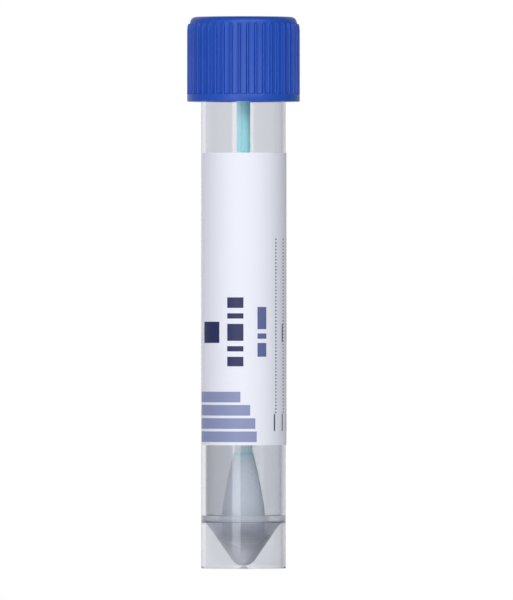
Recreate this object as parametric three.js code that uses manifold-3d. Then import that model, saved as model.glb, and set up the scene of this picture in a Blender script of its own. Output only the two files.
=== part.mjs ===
// Specimen swab tube: a self-standing screw-cap tube with a captive foam swab in rinse liquid.
// Millimetres, +Z up. The tube stands on its skirt at Z = 0, with its axis on the Z axis.

import * as THREE from 'three';
import { mergeVertices } from 'three/addons/utils/BufferGeometryUtils.js';
import Module from 'manifold-3d';

const wasm = await Module();
wasm.setup();

// ---- driving dimensions ----

// Tube: one moulding, with a conical floor hung inside a standing skirt
const TUBE_R = 8.0;
const TUBE_WALL = 0.8;
const TUBE_LENGTH = 102.6;
const RIM_ROUND = 0.25;
const FLOOR_WALL = 0.6;
const FLOOR_HALF_ANGLE = 34.5;
const FLOOR_TIP_R = 2.75;
const FLOOR_TIP_LIFT = 0.45;

// Screw cap: ribbed skirt, plug seal in the tube's mouth, socket that grips the swab's shaft
const CAP_RIB_R = 10.65;
const CAP_WALL = 0.93;
const CAP_TOP_WALL = 1.55;
const CAP_OVERLAP = 14.4;
const CAP_BAND = 1.4;
const CAP_SHOULDER = 1.3;
const CAP_TOP_ROUND = 1.1;
const MOUTH_CHAMFER = 0.3;
const RIB_COUNT = 42;
const RIB_HEIGHT = 0.57;
const RIB_WIDTH = 0.6;
const RIB_ROOT = 0.5;
const RIB_CROWN = 1.2;
const RIB_LEAN = 0.22;
const PLUG_DEPTH = 2.6;
const PLUG_WALL = 0.9;
const PLUG_LEAD = 0.4;
const SOCKET_WALL = 1.3;
const SOCKET_LENGTH = 9.5;
const SOCKET_ROOF = 0.4;

// Swab: round shaft with a foam bud moulded over its lower end
const SHAFT_R = 1.28;
const SHAFT_END_ROUND = 0.3;
const SHAFT_GRIP = 9.0;
const SHAFT_IN_BUD = 9.8;
const BUD_TOP_R = 1.65;
const BUD_WIDE_R = 3.25;
const BUD_LENGTH = 16.8;
const BUD_BOTTOM_LIFT = 4.0;
const BUD_TOP_ROUND = 0.2;
const BUD_BOTTOM_ROUND = 2.6;
const BUD_BULGE = 1.5;

// Label: paper wrap that leaves a window strip, so that the filling can be seen
const LABEL_BOTTOM = 23.3;
const LABEL_HEIGHT = 55.2;
const LABEL_THICKNESS = 0.1;
const LABEL_START = -165;
const LABEL_WRAP = 324;

// Rinse liquid
const LIQUID_LEVEL = 41.0;

// Clearances between pieces
const SEAT_GAP = 0.05;
const PLUG_GAP = 0.1;
const GRIP_GAP = 0.06;
const LABEL_GAP = 0.03;
const LIQUID_WALL_GAP = 0.1;
const LIQUID_SWAB_GAP = 0.3;

// Facets round a full turn, and along a quarter-circle round
const TUBE_FACETS = 60;
const CAP_FACETS = 2 * RIB_COUNT;
const BUD_FACETS = 36;
const SHAFT_FACETS = 24;
const ROUND_STEPS = 3;
const BUD_STEPS = 6;

// ---- places that follow from the dimensions ----

const BORE_R = TUBE_R - TUBE_WALL;
const CAP_CEILING = TUBE_LENGTH + SEAT_GAP;
const CAP_TOP = CAP_CEILING + CAP_TOP_WALL;
const CAP_GROOVE_R = CAP_RIB_R - RIB_HEIGHT;
const CAP_BORE_R = CAP_GROOVE_R - CAP_WALL;
const CAP_BOTTOM = TUBE_LENGTH - CAP_OVERLAP;
const RIB_BOTTOM = CAP_BOTTOM + CAP_BAND;
const RIB_TOP = CAP_TOP - CAP_SHOULDER;
const SOCKET_BORE_R = SHAFT_R + GRIP_GAP;
const SOCKET_CEILING = CAP_CEILING + SOCKET_ROOF;
const SOCKET_BOTTOM = SOCKET_CEILING - SOCKET_LENGTH;
const TIP_CENTRE = FLOOR_TIP_LIFT + FLOOR_TIP_R;
const BUD_BOTTOM = FLOOR_TIP_LIFT + FLOOR_WALL + BUD_BOTTOM_LIFT;
const BUD_TOP = BUD_BOTTOM + BUD_LENGTH;
const SHAFT_BOTTOM = BUD_TOP - SHAFT_IN_BUD;
const SHAFT_TOP = SOCKET_BOTTOM + SHAFT_GRIP;
const BUD_BORE_BOTTOM = SHAFT_BOTTOM - GRIP_GAP;

// ---- shape helpers ----

const radians = THREE.MathUtils.degToRad;

function point(r, z) {
  return new THREE.Vector2(r, z);
}

// Points of a circular arc in the (radius, height) plane; angles in degrees from the radius axis
function arc(r, z, radius, from, to, steps = ROUND_STEPS) {
  return Array.from({ length: steps + 1 }, (_, i) => {
    const turn = radians(from + ((to - from) * i) / steps);
    return point(r + radius * Math.cos(turn), z + radius * Math.sin(turn));
  });
}

// Solid of revolution about Z; the profile runs anticlockwise in the (radius, height) plane
function lathe(profile, facets) {
  return new THREE.LatheGeometry(profile, facets).rotateX(Math.PI / 2);
}

function toManifold(geometry) {
  const bare = geometry.index ? geometry.toNonIndexed() : geometry.clone();
  bare.deleteAttribute('normal');
  bare.deleteAttribute('uv');
  const merged = mergeVertices(bare, 1e-4);
  const corners = merged.index.array;
  const triangles = [];
  for (let i = 0; i < corners.length; i += 3) {
    const [a, b, c] = corners.slice(i, i + 3);
    if (a !== b && b !== c && c !== a) triangles.push(a, b, c);
  }
  const mesh = new wasm.Mesh({
    numProp: 3,
    vertProperties: new Float32Array(merged.attributes.position.array),
    triVerts: new Uint32Array(triangles),
  });
  mesh.merge();
  return new wasm.Manifold(mesh);
}

function toGeometry(solid) {
  const mesh = solid.getMesh();
  const geometry = new THREE.BufferGeometry();
  geometry.setAttribute('position', new THREE.BufferAttribute(mesh.vertProperties, 3));
  geometry.setIndex(new THREE.BufferAttribute(mesh.triVerts, 1));
  return geometry;
}

// ---- conical floor ----

// Radius of the floor's cone at a height, for a face lying `inset` inside the outer one
function floorRadius(z, inset) {
  const alpha = radians(FLOOR_HALF_ANGLE);
  return (z - TIP_CENTRE) * Math.tan(alpha) + (FLOOR_TIP_R - inset) / Math.cos(alpha);
}

// Height at which that face reaches a radius
function floorHeight(r, inset) {
  const alpha = radians(FLOOR_HALF_ANGLE);
  return TIP_CENTRE + (r - (FLOOR_TIP_R - inset) / Math.cos(alpha)) / Math.tan(alpha);
}

// Rounded tip of that face, from the axis up to where the cone leaves it
function floorTip(inset) {
  return arc(0, TIP_CENTRE, FLOOR_TIP_R - inset, -90, -FLOOR_HALF_ANGLE);
}

// ---- pieces ----

function tubeGeometry() {
  const skirtJoin = floorHeight(BORE_R, 0);
  const boreFoot = floorHeight(BORE_R, FLOOR_WALL);
  return lathe([
    ...floorTip(0),
    point(BORE_R, skirtJoin),
    point(BORE_R, 0),
    point(TUBE_R, 0),
    ...arc(TUBE_R - RIM_ROUND, TUBE_LENGTH - RIM_ROUND, RIM_ROUND, 0, 90),
    ...arc(BORE_R + RIM_ROUND, TUBE_LENGTH - RIM_ROUND, RIM_ROUND, 90, 180),
    point(BORE_R, boreFoot),
    ...floorTip(FLOOR_WALL).reverse(),
  ], TUBE_FACETS);
}

function ribSolid(index) {
  const outline = new THREE.Shape([
    point(CAP_GROOVE_R - RIB_ROOT, RIB_BOTTOM),
    point(CAP_RIB_R, RIB_BOTTOM),
    point(CAP_RIB_R, RIB_TOP - RIB_CROWN),
    point(CAP_RIB_R - RIB_LEAN / 3, RIB_TOP - RIB_CROWN / 3),
    point(CAP_RIB_R - RIB_LEAN, RIB_TOP),
    point(CAP_GROOVE_R - RIB_ROOT, RIB_TOP),
  ]);
  const rib = new THREE.ExtrudeGeometry(outline, { depth: RIB_WIDTH, bevelEnabled: false });
  rib.translate(0, 0, -RIB_WIDTH / 2);
  rib.rotateX(Math.PI / 2);
  rib.rotateZ(-Math.PI / 2 + (2 * Math.PI * (index + 0.5)) / RIB_COUNT);
  return toManifold(rib);
}

function capGeometry() {
  const plugR = BORE_R - PLUG_GAP;
  const plugBottom = CAP_CEILING - PLUG_DEPTH;
  const socketR = SOCKET_BORE_R + SOCKET_WALL;
  const body = lathe([
    point(0, SOCKET_CEILING),
    point(SOCKET_BORE_R, SOCKET_CEILING),
    point(SOCKET_BORE_R, SOCKET_BOTTOM),
    point(socketR, SOCKET_BOTTOM),
    point(socketR, CAP_CEILING),
    point(plugR - PLUG_WALL, CAP_CEILING),
    point(plugR - PLUG_WALL, plugBottom),
    point(plugR - PLUG_LEAD, plugBottom),
    point(plugR, plugBottom + PLUG_LEAD * 2),
    point(plugR, CAP_CEILING),
    point(CAP_BORE_R, CAP_CEILING),
    point(CAP_BORE_R, CAP_BOTTOM + MOUTH_CHAMFER),
    point(CAP_BORE_R + MOUTH_CHAMFER, CAP_BOTTOM),
    point(CAP_RIB_R, CAP_BOTTOM),
    point(CAP_RIB_R, RIB_BOTTOM),
    point(CAP_GROOVE_R, RIB_BOTTOM),
    ...arc(CAP_GROOVE_R - CAP_TOP_ROUND, CAP_TOP - CAP_TOP_ROUND, CAP_TOP_ROUND, 0, 90),
    point(0, CAP_TOP),
  ], CAP_FACETS);
  let cap = toManifold(body);
  for (let i = 0; i < RIB_COUNT; i += 1) {
    cap = cap.add(ribSolid(i));
  }
  return toGeometry(cap);
}

function shaftGeometry() {
  return lathe([
    point(0, SHAFT_BOTTOM),
    ...arc(SHAFT_R - SHAFT_END_ROUND, SHAFT_BOTTOM + SHAFT_END_ROUND, SHAFT_END_ROUND, -90, 0, 2),
    ...arc(SHAFT_R - SHAFT_END_ROUND, SHAFT_TOP - SHAFT_END_ROUND, SHAFT_END_ROUND, 0, 90, 2),
    point(0, SHAFT_TOP),
  ], SHAFT_FACETS);
}

// Outer face of the bud from its lowest point to its top edge, swollen by `grow`
function budSkin(grow) {
  const bottomRound = BUD_BOTTOM_ROUND + grow;
  const topRound = BUD_TOP_ROUND + grow;
  const widest = BUD_BOTTOM + BUD_BOTTOM_ROUND;
  const taperLength = BUD_TOP - BUD_TOP_ROUND - widest;
  const taper = Array.from({ length: BUD_STEPS - 1 }, (_, i) => {
    const share = (i + 1) / BUD_STEPS;
    const r = BUD_WIDE_R - (BUD_WIDE_R - BUD_TOP_R) * share ** BUD_BULGE;
    return point(r + grow, widest + taperLength * share);
  });
  return [
    point(0, BUD_BOTTOM - grow),
    ...arc(BUD_WIDE_R + grow - bottomRound, BUD_BOTTOM - grow + bottomRound, bottomRound, -90, 0, 5),
    ...taper,
    ...arc(BUD_TOP_R + grow - topRound, BUD_TOP + grow - topRound, topRound, 0, 90),
  ];
}

function budGeometry() {
  const boreR = SHAFT_R + GRIP_GAP;
  return lathe([
    ...budSkin(0),
    point(boreR, BUD_TOP),
    point(boreR, BUD_BORE_BOTTOM),
    point(0, BUD_BORE_BOTTOM),
  ], BUD_FACETS);
}

function labelGeometry() {
  const inner = TUBE_R + LABEL_GAP;
  const outer = inner + LABEL_THICKNESS;
  const start = radians(LABEL_START);
  const end = radians(LABEL_START + LABEL_WRAP);
  const section = new THREE.Shape();
  section.absarc(0, 0, outer, start, end, false);
  section.absarc(0, 0, inner, end, start, true);
  section.closePath();
  const curveSegments = Math.round((TUBE_FACETS * LABEL_WRAP) / 360);
  const sleeve = new THREE.ExtrudeGeometry(section, {
    depth: LABEL_HEIGHT,
    bevelEnabled: false,
    curveSegments,
  });
  return sleeve.translate(0, 0, LABEL_BOTTOM);
}

// The liquid fills the tube around the swab, up to its level
function liquidGeometry() {
  const inset = FLOOR_WALL + LIQUID_WALL_GAP;
  const wallR = BORE_R - LIQUID_WALL_GAP;
  const shaftR = SHAFT_R + LIQUID_SWAB_GAP;
  return lathe([
    ...floorTip(inset),
    point(wallR, floorHeight(wallR, inset)),
    point(wallR, LIQUID_LEVEL),
    point(shaftR, LIQUID_LEVEL),
    point(shaftR, BUD_TOP + LIQUID_SWAB_GAP),
    ...budSkin(LIQUID_SWAB_GAP).reverse().slice(1),
  ], TUBE_FACETS);
}

// ---- scene graph ----

function moulded(color, options = {}) {
  return new THREE.MeshStandardMaterial({ color, roughness: 0.4, metalness: 0, ...options });
}

const see_through = { transparent: true, side: THREE.DoubleSide };

const pieces = {
  tube: [tubeGeometry(), moulded(0xd2d6dc, { ...see_through, opacity: 0.35, roughness: 0.25 })],
  screw_cap: [capGeometry(), moulded(0x284baa, { roughness: 0.35 })],
  swab_shaft: [shaftGeometry(), moulded(0x96cbd6)],
  swab_bud: [budGeometry(), moulded(0xc4cad6, { roughness: 0.9 })],
  label: [labelGeometry(), moulded(0xeceffb, { roughness: 0.6 })],
  rinse_liquid: [liquidGeometry(), moulded(0xbcc4cc, { ...see_through, opacity: 0.3, roughness: 0.05 })],
};

const swabTube = new THREE.Group();
for (const [name, [geometry, material]] of Object.entries(pieces)) {
  const mesh = new THREE.Mesh(geometry, material);
  mesh.name = name;
  swabTube.add(mesh);
}

export default swabTube;
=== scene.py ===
import math

import bmesh
import bpy
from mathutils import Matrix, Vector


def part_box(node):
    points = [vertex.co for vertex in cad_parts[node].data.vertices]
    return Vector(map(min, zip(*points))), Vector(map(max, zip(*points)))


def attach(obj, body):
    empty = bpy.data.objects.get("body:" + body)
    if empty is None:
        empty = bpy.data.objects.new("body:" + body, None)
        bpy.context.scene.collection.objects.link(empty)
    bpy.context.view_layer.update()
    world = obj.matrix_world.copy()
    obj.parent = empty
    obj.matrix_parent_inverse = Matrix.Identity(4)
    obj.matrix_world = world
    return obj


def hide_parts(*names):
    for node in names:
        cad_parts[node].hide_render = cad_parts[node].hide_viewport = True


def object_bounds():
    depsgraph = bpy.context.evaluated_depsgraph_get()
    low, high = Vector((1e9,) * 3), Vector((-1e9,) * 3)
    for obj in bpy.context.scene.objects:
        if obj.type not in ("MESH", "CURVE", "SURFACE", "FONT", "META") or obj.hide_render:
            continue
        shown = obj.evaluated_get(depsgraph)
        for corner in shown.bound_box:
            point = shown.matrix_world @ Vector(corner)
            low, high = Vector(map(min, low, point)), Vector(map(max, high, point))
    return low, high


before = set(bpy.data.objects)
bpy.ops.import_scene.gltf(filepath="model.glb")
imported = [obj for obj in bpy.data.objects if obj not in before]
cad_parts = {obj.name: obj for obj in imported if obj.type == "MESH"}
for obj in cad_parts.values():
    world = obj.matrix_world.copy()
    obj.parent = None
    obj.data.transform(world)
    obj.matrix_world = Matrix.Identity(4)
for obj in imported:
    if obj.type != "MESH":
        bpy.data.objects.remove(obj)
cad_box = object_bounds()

MM = 0.001
TURN = 2 * math.pi

# ---- places and sizes taken from the frame ----


def radius_of(node):
    """Radius of a round part about the tube's axis"""
    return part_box(node)[1].y


tube_low, tube_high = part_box("tube")
cap_low, cap_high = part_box("screw_cap")
label_low, label_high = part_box("label")
liquid_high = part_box("rinse_liquid")[1]
shaft_low, shaft_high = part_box("swab_shaft")
bud_low, bud_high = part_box("swab_bud")

TUBE_R = radius_of("tube")
TUBE_TOP = tube_high.z
# the rounding of the ribs swells them by nearly this much
RIB_SWELL = 0.005 * MM
CAP_R = radius_of("screw_cap") - RIB_SWELL
CAP_BOTTOM = cap_low.z
CAP_TOP = cap_high.z
LABEL_R = radius_of("label")
SHAFT_R = radius_of("swab_shaft")
BUD_R = radius_of("swab_bud")

# ---- sizes of the mouldings, in metres ----

TUBE_SIDES = 128
TUBE_WALL = 0.8 * MM
BORE_R = TUBE_R - TUBE_WALL
RIM_ROUND = 0.25 * MM
# the floor: a cone, this far off the axis, with a rounded tip that ends a little above the table
FLOOR_WALL = 0.6 * MM
FLOOR_ANGLE = math.radians(34.5)
TIP_R = 2.75 * MM
TIP_LIFT = 0.45 * MM
TIP_CENTRE = TIP_LIFT + TIP_R
# the floor's colour is painted palest below the first height, as painted light at its tip, and greyest
# above the second, as painted shade; its join with the wall is milky
PAINTED_LIGHT_BELOW = 3.0 * MM
PAINTED_SHADE_ABOVE = 6.5 * MM
MILKY_HEIGHT = 1.1 * MM

SKIRT_ROUND = 0.05 * MM
# where the bore meets the floor's cone, and where the skirt's inside meets the cone's outside
FOOT_FILLET = 0.15 * MM
ROOF_FILLET = 0.06 * MM
# a ring this far from a round keeps the long wall's shading straight
HOLD = 0.6 * MM
# points closer than this are one
WELD = 0.001 * MM
# in tests of place, this far apart is the same place, and this far is close by
TINY = 0.01 * MM
NEAR = 0.1 * MM

# one column of the cap's wall in three carries a rib
RIB_COUNT = 42
CAP_SIDES = 3 * RIB_COUNT
# how far each side of a rib leans in, at its crest and at its root
CREST_LEAN = math.radians(0.6)
ROOT_LEAN = math.radians(0.15)
RIB_ROUND = 0.12 * MM
# how a rib dies away at its top: how far its crest has come in, and how far below its end, in mm
RIB_FADE = [(0, 1.2), (0.07, 0.45), (0.22, 0)]
GROOVE_R = 10.08 * MM
CAP_BORE_R = 9.15 * MM
MOUTH_CHAMFER = 0.3 * MM
CEILING_GAP = 0.05 * MM
CAP_CEILING = TUBE_TOP + CEILING_GAP
CAP_BAND = 1.4 * MM
SHOULDER = 1.3 * MM
TOP_ROUND = 1.1 * MM
TOP_HOLD = 0.4 * MM
# mark of the mould's gate: a shallow dimple in the middle of the cap's top
GATE_R = 1.9 * MM
GATE_ROUND = 0.25 * MM
GATE_FLAT_R = 1.5 * MM
GATE_DEPTH = 0.2 * MM
# the plug that seals the tube's mouth: a thin wall, straight and then tapered
PLUG_GAP = 0.1 * MM
PLUG_R = BORE_R - PLUG_GAP
PLUG_STRAIGHT = 1.8 * MM
PLUG_LENGTH = 2.6 * MM
PLUG_TAPER = 0.4 * MM
PLUG_WALL = 0.9 * MM
# the socket that grips the shaft, and its hole, which runs on a little above the cap's ceiling
SOCKET_R = 2.64 * MM
SOCKET_BOTTOM = 93.55 * MM
SOCKET_GAP = 0.06 * MM
SOCKET_RUN_ON = 0.4 * MM

THREAD_PITCH = 3.0 * MM
THREAD_LOW = 91.8 * MM
THREAD_STEPS = 48
# half the ridge's width at its root, and its crest's share of that width
THREAD_HALF = 0.55 * MM
THREAD_CREST = 0.4
# the ridge's ends run out over a few steps, from this share of its full size
RUN_OUT_STEPS = 6
RUN_OUT_START = 0.1
# the neck's ridge and the cap's end this far from the tube's wall, and start just off their own
NECK_RIDGE = 0.52 * MM
CAP_RIDGE_CLEAR = 0.62 * MM
RIDGE_OFF = 0.01 * MM
NECK_TURNS = 2.25
CAP_TURNS = 2

SHAFT_SIDES = 48
SHAFT_ROUND = 0.3 * MM

BUD_SIDES = 128
BUD_BOTTOM_ROUND = 2.6 * MM
BUD_TOP_R = 1.42 * MM
# the taper of the bud: its steps, and how late it sets in
BUD_STEPS = 90
BUD_TAPER = 1.5
# the bud is drawn up and down from a thin slice, and closes just inside the shaft's skin
BUD_SLICE = 0.05 * MM
BUD_CLOSE = 0.1 * MM
BUD_END_INSET = 0.3 * MM
FOAM_CELL = 0.35 * MM
FOAM_PIT = 0.1 * MM

LABEL_GAP = 0.03 * MM
LABEL_START = -165
LABEL_WRAP = 324
# the ink's lower and upper face above the paper
INK_IN = 0.004 * MM
INK_OUT = 0.018 * MM
DOT_R = 0.18 * MM
DOT_PITCH = 0.64 * MM

LIQUID_SIDES = 96
LIQUID_GAP = 0.05 * MM
# its side turns in towards the floor this far above the floor's join with the wall
LIQUID_BEND = 0.1 * MM
# the liquid's skin lies just inside the floor's, so that no film of air is seen between them
LIQUID_SUNK = 0.02 * MM
# its edge climbs the wall this far, beginning this far from it
MENISCUS_RISE = 0.4 * MM
MENISCUS_REACH = 1.3 * MM
MENISCUS_STEPS = 8

# ---- modelling helpers ----


def arc(r, z, radius, start, end, steps):
    """Points of a round in the (radius, height) plane, angles in degrees from the radius axis"""
    turns = [math.radians(start + (end - start) * i / steps) for i in range(steps + 1)]
    return [(r + radius * math.cos(t), z + radius * math.sin(t)) for t in turns]


def deselect():
    bpy.ops.object.select_all(action="DESELECT")


def edit(piece):
    """Open a piece in edit mode, with nothing selected"""
    deselect()
    piece.select_set(True)
    bpy.context.view_layer.objects.active = piece
    bpy.ops.object.mode_set(mode="EDIT")
    bpy.ops.mesh.select_all(action="DESELECT")


def leave():
    bpy.ops.object.mode_set(mode="OBJECT")


def pick(test, kind="faces"):
    """Select in edit mode what passes a test of its middle and, for faces, its normal"""
    bpy.ops.mesh.select_all(action="DESELECT")
    mesh = bpy.context.edit_object.data
    form = bmesh.from_edit_mesh(mesh)
    for item in getattr(form, kind):
        if kind == "faces":
            middle, facing = item.calc_center_median(), item.normal
        elif kind == "edges":
            middle, facing = (item.verts[0].co + item.verts[1].co) / 2, item
        else:
            middle, facing = item.co, item
        if test(middle, facing):
            item.select_set(True)
    form.select_flush_mode()
    bmesh.update_edit_mesh(mesh)


def start_round(name, sides, radius, low, high):
    """A cylinder from a lower to an upper height on the tube's axis"""
    deselect()
    bpy.ops.mesh.primitive_cylinder_add(
        vertices=sides, radius=radius, depth=high - low, location=(0, 0, (low + high) / 2)
    )
    piece = bpy.context.active_object
    piece.name = name
    bpy.ops.object.transform_apply(location=True)
    return piece


def pick_end(up):
    """Select the flat end face of the piece in edit mode: the upper one with 1, the lower with -1"""
    pick(lambda middle, normal: normal.z * up > 0.9 and middle.xy.length < NEAR)


def walk(rings, radius, height):
    """Extrude the selected end face through rings of (radius, height)"""
    for next_radius, next_height in rings:
        bpy.ops.mesh.extrude_region_move(
            TRANSFORM_OT_translate={"value": (0, 0, next_height - height)}
        )
        size = next_radius / radius
        bpy.ops.transform.resize(value=(size, size, 1), center_override=(0, 0, next_height))
        radius, height = next_radius, next_height


def close_tip():
    """Draw the selected end face together to a point"""
    bpy.ops.mesh.merge(type="CENTER")


def bevel(piece, width, angle, segments=2):
    """Round every edge sharper than an angle in degrees"""
    deselect()
    bpy.context.view_layer.objects.active = piece
    piece.select_set(True)
    bpy.ops.object.modifier_add(type="BEVEL")
    rounding = piece.modifiers[-1]
    rounding.width = width
    rounding.segments = segments
    rounding.limit_method = "ANGLE"
    rounding.angle_limit = math.radians(angle)
    rounding.miter_outer = "MITER_ARC"
    bpy.ops.object.modifier_apply(modifier=rounding.name)


def smooth(piece, angle=30):
    """Shade every edge blunter than an angle in degrees as one surface"""
    deselect()
    bpy.context.view_layer.objects.active = piece
    piece.select_set(True)
    bpy.ops.object.shade_smooth_by_angle(angle=math.radians(angle))


def finish_piece(piece, body, material, replaced=()):
    """Give a piece its material, the body it rides on and the CAD nodes it stands for"""
    piece.data.materials.clear()
    piece.data.materials.append(material)
    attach(piece, body)
    if replaced:
        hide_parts(*replaced)
    return piece


# ---- material helpers ----


def paint(hex_colour):
    """An sRGB hex colour as linear red, green, blue and alpha"""
    parts = [int(hex_colour[i : i + 2], 16) / 255 for i in (1, 3, 5)]
    linear = [c / 12.92 if c <= 0.04045 else ((c + 0.055) / 1.055) ** 2.4 for c in parts]
    return (*linear, 1.0)


def add(tree, kind, settings=None, inputs=None):
    """Add a node with its settings, and its inputs as values or as the sockets that feed them"""
    node = tree.nodes.new(kind)
    for name, value in (settings or {}).items():
        setattr(node, name, value)
    for name, value in (inputs or {}).items():
        if isinstance(value, bpy.types.NodeSocket):
            tree.links.new(value, node.inputs[name])
        else:
            node.inputs[name].default_value = value
    return node


def new_material(name):
    """An empty material and its node tree"""
    material = bpy.data.materials.new(name)
    material.use_nodes = True
    material.node_tree.nodes.clear()
    return material, material.node_tree


def output(tree, shader, volume=None):
    """The material's surface, and for a liquid what fills it"""
    inputs = {"Surface": shader}
    if volume is not None:
        inputs["Volume"] = volume
    add(tree, "ShaderNodeOutputMaterial", inputs=inputs)


def let_lamps_through(tree, shader, tint):
    """Clear stuff is lit from behind as well: rays from lamps pass it, a little dimmed"""
    path = add(tree, "ShaderNodeLightPath")
    clear = add(tree, "ShaderNodeBsdfTransparent", inputs={"Color": tint})
    mixed = add(tree, "ShaderNodeMixShader", inputs={0: path.outputs["Is Shadow Ray"], 1: shader})
    tree.links.new(clear.outputs[0], mixed.inputs[2])
    return mixed.outputs[0]


def two_tones(tree, share, low, high):
    """A colour between two, each an sRGB hex colour or the socket that feeds it, by a share of 0 to 1"""
    low, high = (paint(tone) if isinstance(tone, str) else tone for tone in (low, high))
    mixed = add(tree, "ShaderNodeMix", {"data_type": "RGBA"}, {0: share, 6: low, 7: high})
    return mixed.outputs[2]


def share_by_height(tree, start, end, most=1.0):
    """A share that goes from 0 at one height on the object to its most at another"""
    place = add(tree, "ShaderNodeTexCoord")
    parts = add(tree, "ShaderNodeSeparateXYZ", inputs={0: place.outputs["Object"]})
    share = add(
        tree,
        "ShaderNodeMapRange",
        inputs={"Value": parts.outputs["Z"], "From Min": start, "From Max": end, "To Max": most},
    )
    return share.outputs[0]


def relief(tree, height, strength, depth):
    """The bump that a pattern of heights makes"""
    skin = add(
        tree, "ShaderNodeBump", inputs={"Height": height, "Strength": strength, "Distance": depth}
    )
    return skin.outputs[0]


# ---- materials ----


def clear_polypropylene():
    """Clarified polypropylene, injection moulded: glossy, with the faint waviness of the mould's flow"""
    material, tree = new_material("moulded_clear_polypropylene")
    body = add(
        tree,
        "ShaderNodeBsdfPrincipled",
        inputs={
            "Base Color": paint("#fbfbfc"),
            "Roughness": 0.05,
            "IOR": 1.49,
            "Transmission Weight": 1.0,
            "Normal": flow_waves(tree, 0.02),
        },
    )
    output(tree, let_lamps_through(tree, body.outputs[0], paint("#fcfcfd")))
    return material


def hazy_polypropylene_painted_light_and_shade():
    """The same polypropylene at the floor, off a blasted core: a grey haze, with painted light making it
    paler towards the thick tip and painted shade greying it higher up
    """
    material, tree = new_material("moulded_hazy_polypropylene")
    # painted light and shade: pale at the tip, grey higher up the floor's cone
    tone = two_tones(tree, share_by_height(tree, PAINTED_LIGHT_BELOW, PAINTED_SHADE_ABOVE), "#f6f8ff", "#bec2cb")
    body = add(
        tree,
        "ShaderNodeBsdfPrincipled",
        inputs={
            "Base Color": tone,
            "Roughness": 0.14,
            "IOR": 1.49,
            "Transmission Weight": 0.77,
            "Normal": flow_waves(tree, 0.15),
        },
    )
    output(tree, let_lamps_through(tree, body.outputs[0], paint("#6e7178")))
    return material


def milky_polypropylene():
    """The same polypropylene where the floor meets the wall, thick enough to look milky"""
    material, tree = new_material("moulded_milky_polypropylene")
    body = add(
        tree,
        "ShaderNodeBsdfPrincipled",
        inputs={
            "Base Color": paint("#fafbfe"),
            "Roughness": 0.12,
            # wet inside: what counts is its index beside the liquid's
            "IOR": 1.33,
            "Transmission Weight": 0.74,
            "Normal": flow_waves(tree, 0.1),
        },
    )
    output(tree, let_lamps_through(tree, body.outputs[0], paint("#e4e6ea")))
    return material


def flow_waves(tree, strength):
    """Waves of the plastic's flow, 2 mm across and drawn out up the tube, as a bump"""
    place = add(tree, "ShaderNodeTexCoord")
    flow = add(
        tree, "ShaderNodeMapping", inputs={"Vector": place.outputs["Object"], "Scale": (1, 1, 0.15)}
    )
    waves = add(
        tree, "ShaderNodeTexNoise", inputs={"Vector": flow.outputs[0], "Scale": 500, "Detail": 2}
    )
    return relief(tree, waves.outputs[0], strength, 0.05 * MM)


def blue_polypropylene():
    """Blue masterbatch polypropylene, injection moulded: satin, from a fine spark-eroded mould"""
    material, tree = new_material("moulded_blue_polypropylene")
    place = add(tree, "ShaderNodeTexCoord")
    grain = add(
        tree,
        "ShaderNodeTexNoise",
        inputs={"Vector": place.outputs["Object"], "Scale": 4000, "Detail": 3},
    )
    body = add(
        tree,
        "ShaderNodeBsdfPrincipled",
        inputs={
            "Base Color": paint("#2152bb"),
            "Roughness": 0.36,
            "IOR": 1.49,
            "Specular IOR Level": 0.36,
            "Normal": relief(tree, grain.outputs[0], 0.15, 0.02 * MM),
        },
    )
    output(tree, body.outputs[0])
    return material


def teal_polystyrene():
    """Teal polystyrene rod, moulded: smooth, a little translucent, with faint marks along it"""
    material, tree = new_material("moulded_teal_polystyrene")
    place = add(tree, "ShaderNodeTexCoord")
    along = add(
        tree, "ShaderNodeMapping", inputs={"Vector": place.outputs["Object"], "Scale": (1, 1, 0.05)}
    )
    marks = add(
        tree, "ShaderNodeTexNoise", inputs={"Vector": along.outputs[0], "Scale": 4000, "Detail": 2}
    )
    tone = two_tones(tree, marks.outputs[0], "#93dae2", "#9fe3e8")
    # the rod is painted paler below the label: painted light that makes up for the shade the label and the
    # liquid put on it
    soaked = share_by_height(tree, label_low.z + 3 * MM, label_low.z)
    body = add(
        tree,
        "ShaderNodeBsdfPrincipled",
        inputs={
            "Base Color": two_tones(tree, soaked, tone, "#e0ffff"),
            "Roughness": 0.35,
            "IOR": 1.59,
            "Subsurface Weight": 0.5,
            "Subsurface Radius": (0.8, 1, 1),
            "Subsurface Scale": 1 * MM,
            "Normal": relief(tree, marks.outputs[0], 0.1, 0.03 * MM),
        },
    )
    output(tree, body.outputs[0])
    return material


def wet_foam():
    """Fine open-cell polyurethane foam, soaked: soft and a little translucent, cells 0.35 mm across"""
    material, tree = new_material("soaked_polyurethane_foam")
    place = add(tree, "ShaderNodeTexCoord")
    cells = add(
        tree,
        "ShaderNodeTexVoronoi",
        inputs={"Vector": place.outputs["Object"], "Scale": 3000},
    )
    tone = two_tones(tree, cells.outputs["Distance"], "#ccd4dd", "#d8dfe6")
    # near the bud's top the foam is thin, and the shaft's colour shows through it
    thin = share_by_height(tree, bud_high.z - 1.7 * MM, bud_high.z, most=0.75)
    body = add(
        tree,
        "ShaderNodeBsdfPrincipled",
        inputs={
            "Base Color": two_tones(tree, thin, tone, "#bdf6f8"),
            "Roughness": 0.5,
            "Subsurface Weight": 0.6,
            "Subsurface Radius": (1, 1, 1),
            "Subsurface Scale": 1.5 * MM,
            "Normal": relief(tree, cells.outputs["Distance"], 0.2, 0.1 * MM),
        },
    )
    output(tree, body.outputs[0])
    return material


def paper_grain(tree):
    """Pressed fibres of a coated paper, about 0.15 mm apart: their height, and the bump they make"""
    place = add(tree, "ShaderNodeTexCoord")
    fibres = add(
        tree,
        "ShaderNodeTexNoise",
        inputs={"Vector": place.outputs["Object"], "Scale": 6500, "Detail": 3},
    )
    return fibres.outputs[0], relief(tree, fibres.outputs[0], 0.12, 0.01 * MM)


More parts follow.
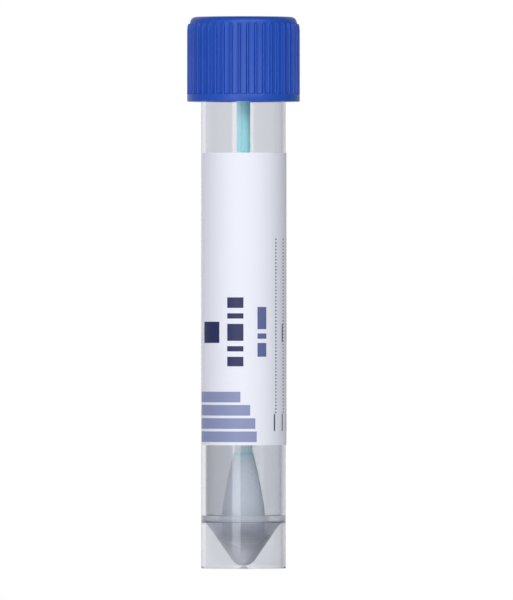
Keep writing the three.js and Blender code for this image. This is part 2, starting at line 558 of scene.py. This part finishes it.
def label_paper():
    """Coated label paper, calendered: near-white with a cool cast, satin, thin enough to pass light"""
    material, tree = new_material("coated_label_paper")
    grain, skin = paper_grain(tree)
    tone = two_tones(tree, grain, "#f0f2fb", "#f4f6fe")
    body = add(
        tree,
        "ShaderNodeBsdfPrincipled",
        inputs={"Base Color": tone, "Roughness": 0.5, "Normal": skin},
    )
    output(tree, let_lamps_through(tree, body.outputs[0], paint("#dcdee4")))
    return material


def ink(name, colour, thin_colour):
    """Offset printing ink on coated paper: satin, a shade paler where the paper takes less of it"""
    material, tree = new_material(name)
    grain, skin = paper_grain(tree)
    tone = two_tones(tree, grain, colour, thin_colour)
    body = add(
        tree,
        "ShaderNodeBsdfPrincipled",
        inputs={"Base Color": tone, "Roughness": 0.45, "Normal": skin},
    )
    output(tree, body.outputs[0])
    return material


def rinse_solution():
    """Buffered rinse solution, watery and faintly grey"""
    material, tree = new_material("rinse_solution")
    body = add(
        tree,
        "ShaderNodeBsdfPrincipled",
        inputs={
            "Base Color": paint("#ffffff"),
            "Roughness": 0.0,
            "IOR": 1.33,
            "Transmission Weight": 1.0,
        },
    )
    dim = add(
        tree, "ShaderNodeVolumeAbsorption", inputs={"Color": paint("#b8bfc6"), "Density": 42}
    )
    output(tree, let_lamps_through(tree, body.outputs[0], paint("#fcfcfd")), dim.outputs[0])
    return material


# ---- conical floor of the tube ----


def floor_radius(z, inset):
    """Radius of the cone at a height, on its outside or on a skin set in from it"""
    slope = (TIP_R - inset) / math.cos(FLOOR_ANGLE)
    return (z - TIP_CENTRE) * math.tan(FLOOR_ANGLE) + slope


def floor_height(r, inset):
    """Height of the cone at a radius, on its outside or on a skin set in from it"""
    slope = (TIP_R - inset) / math.cos(FLOOR_ANGLE)
    return TIP_CENTRE + (r - slope) / math.tan(FLOOR_ANGLE)


def floor_tip(inset):
    """Rings down the rounded tip of the floor, from the cone towards the axis"""
    return arc(0, TIP_CENTRE, TIP_R - inset, -math.degrees(FLOOR_ANGLE), -84, 6)


# ---- pieces ----


def make_tube():
    """Straight wall with a rounded rim, bored to a conical floor; the skirt is hollow up to the cone"""
    top = TUBE_TOP - RIM_ROUND
    join = floor_height(BORE_R, 0)
    foot = floor_height(BORE_R, FLOOR_WALL)
    lean = math.degrees(FLOOR_ANGLE)
    foot_round = foot + FOOT_FILLET * math.tan(FLOOR_ANGLE / 2)
    roof_round = join - ROOF_FILLET / math.tan(FLOOR_ANGLE / 2)
    tube = start_round("tube_moulding", TUBE_SIDES, TUBE_R, tube_low.z + HOLD, top - HOLD)
    edit(tube)
    pick_end(1)
    walk(
        [
            *arc(TUBE_R - RIM_ROUND, top, RIM_ROUND, 0, 90, 5),
            *arc(BORE_R + RIM_ROUND, top, RIM_ROUND, 90, 180, 5),
            (BORE_R, top - HOLD),
            (BORE_R, foot_round + HOLD),
            *arc(BORE_R - FOOT_FILLET, foot_round, FOOT_FILLET, 0, -lean, 8),
            (floor_radius(join, FLOOR_WALL), join),
            *floor_tip(FLOOR_WALL),
        ],
        TUBE_R,
        top - HOLD,
    )
    close_tip()
    pick_end(-1)
    walk(
        [
            *arc(TUBE_R - SKIRT_ROUND, tube_low.z + SKIRT_ROUND, SKIRT_ROUND, 0, -90, 4),
            *arc(BORE_R + SKIRT_ROUND, tube_low.z + SKIRT_ROUND, SKIRT_ROUND, -90, -180, 4),
            (BORE_R, tube_low.z + HOLD),
            (BORE_R, roof_round - HOLD),
            *arc(BORE_R - ROOF_FILLET, roof_round, ROOF_FILLET, 0, 180 - lean, 8),
            *floor_tip(0),
        ],
        TUBE_R,
        tube_low.z + HOLD,
    )
    close_tip()
    leave()
    smooth(tube)
    return tube


def give_faces(piece, material, low, high):
    """Faces of the floor between two heights, inside and out, take a material of their own"""
    piece.data.materials.append(material)
    edit(piece)
    inside = BORE_R - TINY / 2
    pick(lambda middle, normal: middle.xy.length < inside and low < middle.z < high)
    piece.active_material_index = len(piece.data.materials) - 1
    bpy.ops.object.material_slot_assign()
    leave()


def make_cap():
    """Cap: a band at its mouth, a smooth wall with narrow ribs, a rounded top, and its inside"""
    rib_bottom = CAP_BOTTOM + CAP_BAND
    rib_top = CAP_TOP - SHOULDER
    crown = [(CAP_R - inward * MM, rib_top - below * MM) for inward, below in RIB_FADE]
    cap = start_round("screw_cap_moulding", CAP_SIDES, CAP_R, CAP_BOTTOM, rib_bottom)
    edit(cap)
    pick_end(1)
    walk(
        [
            (GROOVE_R, rib_bottom),
            *((GROOVE_R, height) for _, height in crown),
            *arc(GROOVE_R - TOP_ROUND, CAP_TOP - TOP_ROUND, TOP_ROUND, 0, 90, 8),
            (GROOVE_R - TOP_ROUND - TOP_HOLD, CAP_TOP),
            *arc(GATE_R, CAP_TOP - GATE_ROUND, GATE_ROUND, 90, 150, 3),
            (GATE_FLAT_R, CAP_TOP - GATE_DEPTH),
        ],
        CAP_R,
        rib_bottom,
    )
    pick_end(-1)
    walk(
        [
            (CAP_BORE_R + MOUTH_CHAMFER, CAP_BOTTOM),
            (CAP_BORE_R, CAP_BOTTOM + MOUTH_CHAMFER),
            (CAP_BORE_R, CAP_CEILING),
            (PLUG_R, CAP_CEILING),
            (PLUG_R, CAP_CEILING - PLUG_STRAIGHT),
            (PLUG_R - PLUG_TAPER, CAP_CEILING - PLUG_LENGTH),
            (PLUG_R - PLUG_WALL, CAP_CEILING - PLUG_LENGTH),
            (PLUG_R - PLUG_WALL, CAP_CEILING),
            (SOCKET_R, CAP_CEILING),
            (SOCKET_R, SOCKET_BOTTOM),
            (SHAFT_R + SOCKET_GAP, SOCKET_BOTTOM),
            (SHAFT_R + SOCKET_GAP, CAP_CEILING + SOCKET_RUN_ON),
        ],
        CAP_R,
        CAP_BOTTOM,
    )
    raise_ribs(rib_bottom, rib_top, [(CAP_R, rib_bottom), *crown])
    leave()
    bevel(cap, RIB_ROUND, 32, 3)
    smooth(cap)
    return cap


def column_of(place):
    """Columns of the cap's wall, counted round from the groove that faces the front"""
    turn = (math.degrees(math.atan2(place.y, place.x)) + 90) % 360
    rounding = 0.001
    return turn / (360 / CAP_SIDES) + rounding


def is_rib(middle):
    """True on the one column in three that carries a rib"""
    return math.floor(column_of(middle)) % 3 == 1


def raise_ribs(low, high, levels):
    """Pull the rib columns of the wall out to the ribs' radius, running into the band below"""
    pick(
        lambda middle, normal: low < middle.z < high
        and middle.xy.length > GROOVE_R - NEAR
        and normal.xy.length > 0.5
        and is_rib(middle)
    )
    bpy.ops.mesh.extrude_region_move(TRANSFORM_OT_translate={"value": (0, 0, 0)})
    form = bmesh.from_edit_mesh(bpy.context.edit_object.data)
    crest = {v.index for v in form.verts if v.select}
    for radius, height in levels:
        pick(lambda co, v: v.index in crest and abs(co.z - height) < TINY, "verts")
        size = radius / GROOVE_R
        bpy.ops.transform.resize(value=(size, size, 1), center_override=(0, 0, height))
    # the rib's lower end and the band's ledge under it cover each other
    pick(
        lambda middle, normal: abs(middle.z - low) < TINY
        and middle.xy.length > GROOVE_R
        and is_rib(middle)
    )
    bpy.ops.mesh.delete(type="FACE")
    bpy.ops.mesh.select_all(action="SELECT")
    bpy.ops.mesh.remove_doubles(threshold=WELD)
    # a rib lies between the column edges 1 and 2 of every three, which lean towards each other
    for rib_edge, turn in ((1, -1), (2, 1)):

        def on_side(co):
            return low - TINY < co.z < high + TINY and round(column_of(co)) % 3 == rib_edge

        pick(lambda co, v: co.xy.length > GROOVE_R + NEAR and on_side(co), "verts")
        bpy.ops.transform.rotate(
            value=CREST_LEAN * turn, orient_axis="Z", center_override=(0, 0, 0)
        )
        pick(lambda co, v: abs(co.xy.length - GROOVE_R) < TINY and on_side(co), "verts")
        bpy.ops.transform.rotate(
            value=ROOT_LEAN * turn, orient_axis="Z", center_override=(0, 0, 0)
        )


def make_thread(name, root, crest, low, turns):
    """Ridge of trapezium section, walked up a right-hand helix, its ends run out to nothing"""
    steps = round(THREAD_STEPS * turns)
    thread = start_strip(name, root, crest, low - THREAD_HALF, low + THREAD_HALF, 0)
    edit(thread)
    pick(lambda co, v: abs(co.x - crest) < TINY, "verts")
    bpy.ops.transform.resize(value=(1, 1, THREAD_CREST), center_override=(crest, 0, low))
    bpy.ops.mesh.select_all(action="SELECT")
    share = RUN_OUT_START
    bpy.ops.transform.resize(value=(share, 1, share), center_override=(root, 0, low))
    height = low
    for step in range(1, steps + 1):
        bpy.ops.mesh.extrude_region_move(
            TRANSFORM_OT_translate={"value": (0, 0, THREAD_PITCH / THREAD_STEPS)}
        )
        bpy.ops.transform.rotate(
            value=-TURN / THREAD_STEPS, orient_axis="Z", center_override=(0, 0, 0)
        )
        height += THREAD_PITCH / THREAD_STEPS
        turn = TURN * step / THREAD_STEPS
        from_end = min(step, steps - step)
        wanted = min(1, RUN_OUT_START + (1 - RUN_OUT_START) * from_end / RUN_OUT_STEPS)
        size = wanted / share
        share = wanted
        at_root = (root * math.cos(turn), root * math.sin(turn), height)
        bpy.ops.transform.resize(value=(size, size, size), center_override=at_root)
    bpy.ops.mesh.select_all(action="SELECT")
    bpy.ops.mesh.normals_make_consistent(inside=False)
    leave()
    smooth(thread, 25)
    return thread


def make_shaft():
    """Round rod with rounded ends, from inside the bud up into the cap's socket"""
    shaft = start_round("swab_shaft_rod", SHAFT_SIDES, SHAFT_R, shaft_low.z, shaft_high.z)
    bevel(shaft, SHAFT_ROUND, 60, 3)
    smooth(shaft)
    return shaft


def make_bud():
    """Foam bud: rounded below, widest near its lower end, tapered in a long curve onto the shaft"""
    widest = bud_low.z + BUD_BOTTOM_ROUND
    length = bud_high.z - widest
    bud = start_round("swab_bud_foam", BUD_SIDES, BUD_R, widest, widest + BUD_SLICE)
    edit(bud)
    pick_end(1)
    taper = [
        (BUD_R - (BUD_R - BUD_TOP_R) * (i / BUD_STEPS) ** BUD_TAPER, widest + length * i / BUD_STEPS)
        for i in range(1, BUD_STEPS + 1)
    ]
    walk([*taper, (SHAFT_R - BUD_CLOSE, bud_high.z)], BUD_R, widest + BUD_SLICE)
    pick_end(-1)
    walk(arc(BUD_R - BUD_BOTTOM_ROUND, widest, BUD_BOTTOM_ROUND, -3, -90, 28), BUD_R, widest)
    bpy.ops.mesh.inset(thickness=BUD_END_INSET)
    leave()
    pit_foam(bud)
    smooth(bud, 60)
    return bud


def pit_foam(bud):
    """The cells of the foam, about a third of a millimetre across, stand out and sink in"""
    cells = bpy.data.textures.new("foam_cells", "CLOUDS")
    cells.noise_scale = FOAM_CELL
    cells.noise_depth = 1
    deselect()
    bpy.context.view_layer.objects.active = bud
    bud.select_set(True)
    bpy.ops.object.modifier_add(type="DISPLACE")
    pits = bud.modifiers[-1]
    pits.texture = cells
    pits.texture_coords = "LOCAL"
    pits.mid_level = 1.0
    pits.strength = FOAM_PIT
    bpy.ops.object.modifier_apply(modifier=pits.name)


def start_strip(name, inner, outer, low, high, bearing):
    """A flat radial section of a strip, upright at a bearing in degrees round the tube's axis"""
    deselect()
    bpy.ops.mesh.primitive_plane_add(
        size=1, location=((inner + outer) / 2, 0, (low + high) / 2), rotation=(math.pi / 2, 0, 0)
    )
    strip = bpy.context.active_object
    strip.name = name
    strip.scale = (outer - inner, high - low, 1)
    bpy.ops.object.transform_apply(location=True, rotation=True, scale=True)
    strip.rotation_euler.z = math.radians(bearing)
    bpy.ops.object.transform_apply(rotation=True)
    return strip


def wrap_strip(name, inner, outer, low, high, bearing, wrap):
    """A thin strip wrapped about the tube, from a bearing through an angle, in degrees"""
    degrees_a_step = 3
    strip = start_strip(name, inner, outer, low, high, bearing)
    edit(strip)
    bpy.ops.mesh.select_all(action="SELECT")
    bpy.ops.mesh.spin(
        steps=math.ceil(wrap / degrees_a_step),
        angle=-math.radians(wrap),
        center=(0, 0, 0),
        axis=(0, 0, 1),
    )
    bpy.ops.mesh.select_all(action="SELECT")
    bpy.ops.mesh.remove_doubles(threshold=WELD)
    bpy.ops.mesh.normals_make_consistent(inside=False)
    leave()
    return strip


def make_label():
    """Paper wrapped round the tube, with a bare window at its back"""
    inner = TUBE_R + LABEL_GAP
    label = wrap_strip(
        "label_paper", inner, LABEL_R, label_low.z, label_high.z, LABEL_START, LABEL_WRAP
    )
    smooth(label)
    return label


def join(name, parts):
    """One piece out of several, each with its own mesh"""
    deselect()
    for part in parts:
        part.select_set(True)
    bpy.context.view_layer.objects.active = parts[0]
    bpy.ops.object.join()
    piece = bpy.context.active_object
    piece.name = name
    smooth(piece)
    return piece


def print_blocks(name, blocks):
    """Plain printed blocks: bearings from and to in degrees right of the front, heights in mm"""
    parts = [
        wrap_strip(
            name, LABEL_R + INK_IN, LABEL_R + INK_OUT, low * MM, high * MM, start - 90, end - start
        )
        for start, end, low, high in blocks
    ]
    return join(name, parts)


def dotted_line(bearing, low, high):
    """A line of dots up the label, to be written on, between two heights in mm; coarser than print"""
    deselect()
    bpy.ops.mesh.primitive_cylinder_add(
        vertices=8,
        radius=DOT_R,
        depth=INK_OUT - INK_IN,
        location=(LABEL_R + (INK_IN + INK_OUT) / 2, 0, low * MM),
        rotation=(0, math.pi / 2, 0),
    )
    dots = bpy.context.active_object
    bpy.ops.object.transform_apply(location=True, rotation=True)
    bpy.ops.object.modifier_add(type="ARRAY")
    row = dots.modifiers[-1]
    row.use_relative_offset = False
    row.use_constant_offset = True
    row.constant_offset_displace = (0, 0, DOT_PITCH)
    row.count = round((high - low) * MM / DOT_PITCH)
    bpy.ops.object.modifier_apply(modifier=row.name)
    dots.rotation_euler.z = math.radians(bearing - 90)
    bpy.ops.object.transform_apply(rotation=True)
    return dots


def stack(start, end, bottom, heights, gap):
    """Blocks one above another between two bearings, from a lower height up, in mm"""
    blocks = []
    for height in heights:
        blocks.append((start, end, bottom, bottom + height))
        bottom += height + gap
    return blocks


def make_print(slate, navy, lavender, fine):
    """Plain generic print: stepped bars, blocks, and dotted lines to write on; no lettering"""
    bar_foot, bar_height, bar_step = 23.9, 2.0, 2.5
    lavender_bars = []
    for bar_end in (18, 16, 9, -4):
        lavender_bars.append((-76, bar_end, bar_foot, bar_foot + bar_height))
        bar_foot += bar_step
    square = (-65, -34, 42.6, 46.6)
    navy_blocks = [square, *stack(-22, 0, 38.2, (1.8, 1.0, 3.2, 1.0, 2.0), gap=1.0)]
    slate_blocks = stack(19, 32, 40.0, (2.6, 1.0, 4.2), gap=0.8)
    first_line, line_step = 48.8, 18.1
    lines = [first_line + line_step * i for i in range(3)]
    # short dashes to the left of the lines: one below the foot of each, and one half way up the last two
    dashes = [(line - 4, line - 1.5, 26.0, 29.2) for line in lines]
    dashes += [(line - 4, line - 1.5, 42.8, 46.2) for line in lines[1:]]
    pieces = [
        (print_blocks("print_lavender_bars", lavender_bars), lavender),
        (print_blocks("print_navy_blocks", navy_blocks), navy),
        (print_blocks("print_slate_blocks", slate_blocks), slate),
        (print_blocks("print_dashes", dashes), fine),
        (join("print_dotted_lines", [dotted_line(line, 29.5, 62.9) for line in lines]), fine),
    ]
    for piece, material in pieces:
        finish_piece(piece, "tube", material)


def make_liquid():
    """The liquid fills the tube up to its level, and climbs a little at the wall"""
    wall = BORE_R - LIQUID_GAP
    top = liquid_high.z
    foot = floor_height(BORE_R, FLOOR_WALL)
    foot_round = foot + FOOT_FILLET * math.tan(FLOOR_ANGLE / 2)
    lean = math.degrees(FLOOR_ANGLE)
    hold = foot_round + HOLD
    liquid = start_round("rinse_liquid_fill", LIQUID_SIDES, wall, hold, top)
    edit(liquid)
    pick_end(1)
    level = top - MENISCUS_RISE
    parts = [i / MENISCUS_STEPS for i in range(1, MENISCUS_STEPS + 1)]
    walk(
        [(wall - MENISCUS_REACH * part, level + MENISCUS_RISE * (1 - part) ** 2) for part in parts],
        wall,
        top,
    )
    pick_end(-1)
    walk(
        [
            (wall, foot_round + LIQUID_BEND),
            *arc(BORE_R - FOOT_FILLET, foot_round, FOOT_FILLET + LIQUID_SUNK, 0, -lean, 8),
            *floor_tip(FLOOR_WALL - LIQUID_SUNK),
        ],
        wall,
        hold,
    )
    close_tip()
    leave()
    smooth(liquid)
    return liquid


# ---- stage ----

# brightness of the floor as the object mirrors it, beside the room's
FLOOR_GLOW = 0.68
# the light's cast, in red, green and blue
COOL = (0.98, 1.0, 1.06)
# brightness of the room from the camera's side (-1) to the far side (1)
WALL_GLOW = [(-1, 0.4), (0.1, 0.29), (0.5, 0.36), (0.77, 0.72), (0.94, 0.74), (1, 0.74)]
# its share from left (-1) to right (1)
SIDE_GLOW = [
    (-1, 1.0),
    (-0.6, 1.2),
    (-0.45, 1.1),
    (-0.3, 1.1),
    (-0.2, 1.1),
    (-0.1, 1.0),
    (0.1, 1.0),
    (0.2, 0.92),
    (0.45, 0.83),
    (0.56, 0.75),
    (1, 0.5),
]
# its share from below (-1) to above (1)
HEIGHT_GLOW = [
    (-0.2, 1.0),
    (0.05, 1.0),
    (0.2, 0.75),
    (0.35, 0.9),
    (0.48, 1.1),
    (0.6, 1.1),
    (0.75, 0.4),
    (1, 0.15),
]
FLOOR_WIDTH = 0.4
# the camera looks level along +Y, a little to the right of the tube and at about half its height
CAMERA_RIGHT = 2.467 * MM
CAMERA_HEIGHT = 50.7 * MM
CAMERA_FROM = 3.0
# width of what the camera sees at the tube's axis, in metres, and its sensor's width in mm
PICTURE_WIDTH = 96.98 * MM
SENSOR_WIDTH = 36


def ramp(tree, value, stops, tint=(1, 1, 1)):
    """Brightness along one axis of the direction looked in, from stops of (cosine, brightness)"""
    spread = add(
        tree, "ShaderNodeMapRange", inputs={"Value": value, "From Min": -1.0, "From Max": 1.0}
    )
    node = add(tree, "ShaderNodeValToRGB", inputs={0: spread.outputs[0]})
    elements = node.color_ramp.elements
    while len(elements) < len(stops):
        elements.new(0.5)
    for element, (cosine, brightness) in zip(elements, stops):
        element.position = (cosine + 1) / 2
        element.color = (*(brightness * part for part in tint), 1)
    return node.outputs[0]


def product(tree, one, other):
    """Two colours or brightnesses multiplied"""
    node = add(
        tree,
        "ShaderNodeMix",
        {"data_type": "RGBA", "blend_type": "MULTIPLY"},
        {0: 1.0, 6: one, 7: other},
    )
    return node.outputs[2]


def make_stage():
    """A white floor and room for the camera; what the object mirrors and lets through is a dim studio"""
    deselect()
    bpy.ops.mesh.primitive_plane_add(size=FLOOR_WIDTH, location=(0, 0, 0))
    floor = bpy.context.active_object
    floor.name = "pale_floor"
    material, tree = new_material("pale_table")
    path = add(tree, "ShaderNodeLightPath")
    place = add(tree, "ShaderNodeTexCoord")
    bearing = add(
        tree, "ShaderNodeVectorMath", {"operation": "NORMALIZE"}, {0: place.outputs["Object"]}
    )
    parts = add(tree, "ShaderNodeSeparateXYZ", inputs={0: bearing.outputs[0]})
    sides = ramp(tree, parts.outputs["X"], SIDE_GLOW, [FLOOR_GLOW * part for part in COOL])
    lit = add(tree, "ShaderNodeEmission", inputs={"Color": sides, "Strength": 1.0})
    white = add(tree, "ShaderNodeEmission", inputs={"Color": (1, 1, 1, 1), "Strength": 1.0})
    seen = add(
        tree,
        "ShaderNodeMixShader",
        inputs={0: path.outputs["Is Camera Ray"], 1: lit.outputs[0], 2: white.outputs[0]},
    )
    output(tree, seen.outputs[0])
    floor.data.materials.append(material)

    world = bpy.data.worlds.new("studio")
    world.use_nodes = True
    bpy.context.scene.world = world
    tree = world.node_tree
    tree.nodes.clear()
    direction = add(tree, "ShaderNodeTexCoord")
    parts = add(tree, "ShaderNodeSeparateXYZ", inputs={0: direction.outputs["Generated"]})
    walls = ramp(tree, parts.outputs["Y"], WALL_GLOW, COOL)
    sides = ramp(tree, parts.outputs["X"], SIDE_GLOW)
    heights = ramp(tree, parts.outputs["Z"], HEIGHT_GLOW)
    glow = product(tree, product(tree, walls, sides), heights)
    room = add(tree, "ShaderNodeBackground", inputs={"Color": glow, "Strength": 1.0})
    white = add(tree, "ShaderNodeBackground", inputs={"Color": (1, 1, 1, 1), "Strength": 1.0})
    path = add(tree, "ShaderNodeLightPath")
    seen = add(
        tree,
        "ShaderNodeMixShader",
        inputs={0: path.outputs["Is Camera Ray"], 1: room.outputs[0], 2: white.outputs[0]},
    )
    add(tree, "ShaderNodeOutputWorld", inputs={"Surface": seen.outputs[0]})


def add_softbox(name, bearing, lift, away, size, radiance):
    """A rectangular lamp that faces the tube; its bearing is in degrees to the right of the camera"""
    middle = (cad_box[0] + cad_box[1]) / 2
    turn = math.radians(bearing)
    deselect()
    bpy.ops.object.light_add(
        type="AREA", location=(away * math.sin(turn), -away * math.cos(turn), middle.z + lift)
    )
    lamp = bpy.context.active_object
    lamp.name = name
    lamp.data.shape = "RECTANGLE"
    lamp.data.size, lamp.data.size_y = size
    lamp.data.energy = radiance * math.pi * size[0] * size[1]
    lamp.rotation_euler = (middle - lamp.location).to_track_quat("-Z", "Y").to_euler()


def make_camera():
    """A level camera straight in front of the tube"""
    deselect()
    bpy.ops.object.camera_add(
        location=(CAMERA_RIGHT, -CAMERA_FROM, CAMERA_HEIGHT), rotation=(math.pi / 2, 0, 0)
    )
    camera = bpy.context.active_object
    camera.name = "camera"
    camera.data.sensor_fit = "HORIZONTAL"
    camera.data.sensor_width = SENSOR_WIDTH
    camera.data.lens = SENSOR_WIDTH * CAMERA_FROM / PICTURE_WIDTH
    bpy.context.scene.camera = camera


def main():
    bpy.context.scene.view_settings.view_transform = "Standard"
    make_camera()
    make_stage()
    add_softbox("key_softbox", bearing=16, lift=0.6, away=1.04, size=(1.4, 1.1), radiance=1.86)
    add_softbox("strip_softbox", bearing=-20, lift=0, away=1.2, size=(0.5, 0.9), radiance=2.05)

    clear = clear_polypropylene()
    blue = blue_polypropylene()
    tube = finish_piece(make_tube(), "tube", clear, ["tube"])
    wall_foot = floor_height(BORE_R, 0)
    give_faces(tube, hazy_polypropylene_painted_light_and_shade(), tube_low.z, wall_foot)
    give_faces(tube, milky_polypropylene(), wall_foot, wall_foot + MILKY_HEIGHT)
    finish_piece(make_cap(), "cap", blue, ["screw_cap"])
    finish_piece(make_shaft(), "swab", teal_polystyrene(), ["swab_shaft"])
    finish_piece(make_bud(), "swab", wet_foam(), ["swab_bud"])
    finish_piece(make_label(), "tube", label_paper(), ["label"])
    finish_piece(make_liquid(), "tube", rinse_solution(), ["rinse_liquid"])

    # the two threads keep clear of each other, so the cap can turn and lift in the model
    neck_thread = make_thread(
        "tube_thread", TUBE_R + RIDGE_OFF, TUBE_R + NECK_RIDGE, THREAD_LOW, NECK_TURNS
    )
    finish_piece(neck_thread, "tube", clear)
    cap_thread = make_thread(
        "cap_thread",
        CAP_BORE_R - RIDGE_OFF,
        TUBE_R + CAP_RIDGE_CLEAR,
        THREAD_LOW + THREAD_PITCH / 2,
        CAP_TURNS,
    )
    finish_piece(cap_thread, "cap", blue)

    make_print(
        slate=ink("slate_printing_ink", "#5b6496", "#626b9c"),
        navy=ink("navy_printing_ink", "#1e2456", "#242a5e"),
        lavender=ink("lavender_printing_ink", "#8d94bc", "#949bc1"),
        fine=ink("grey_printing_ink", "#484c62", "#50546a"),
    )


main()
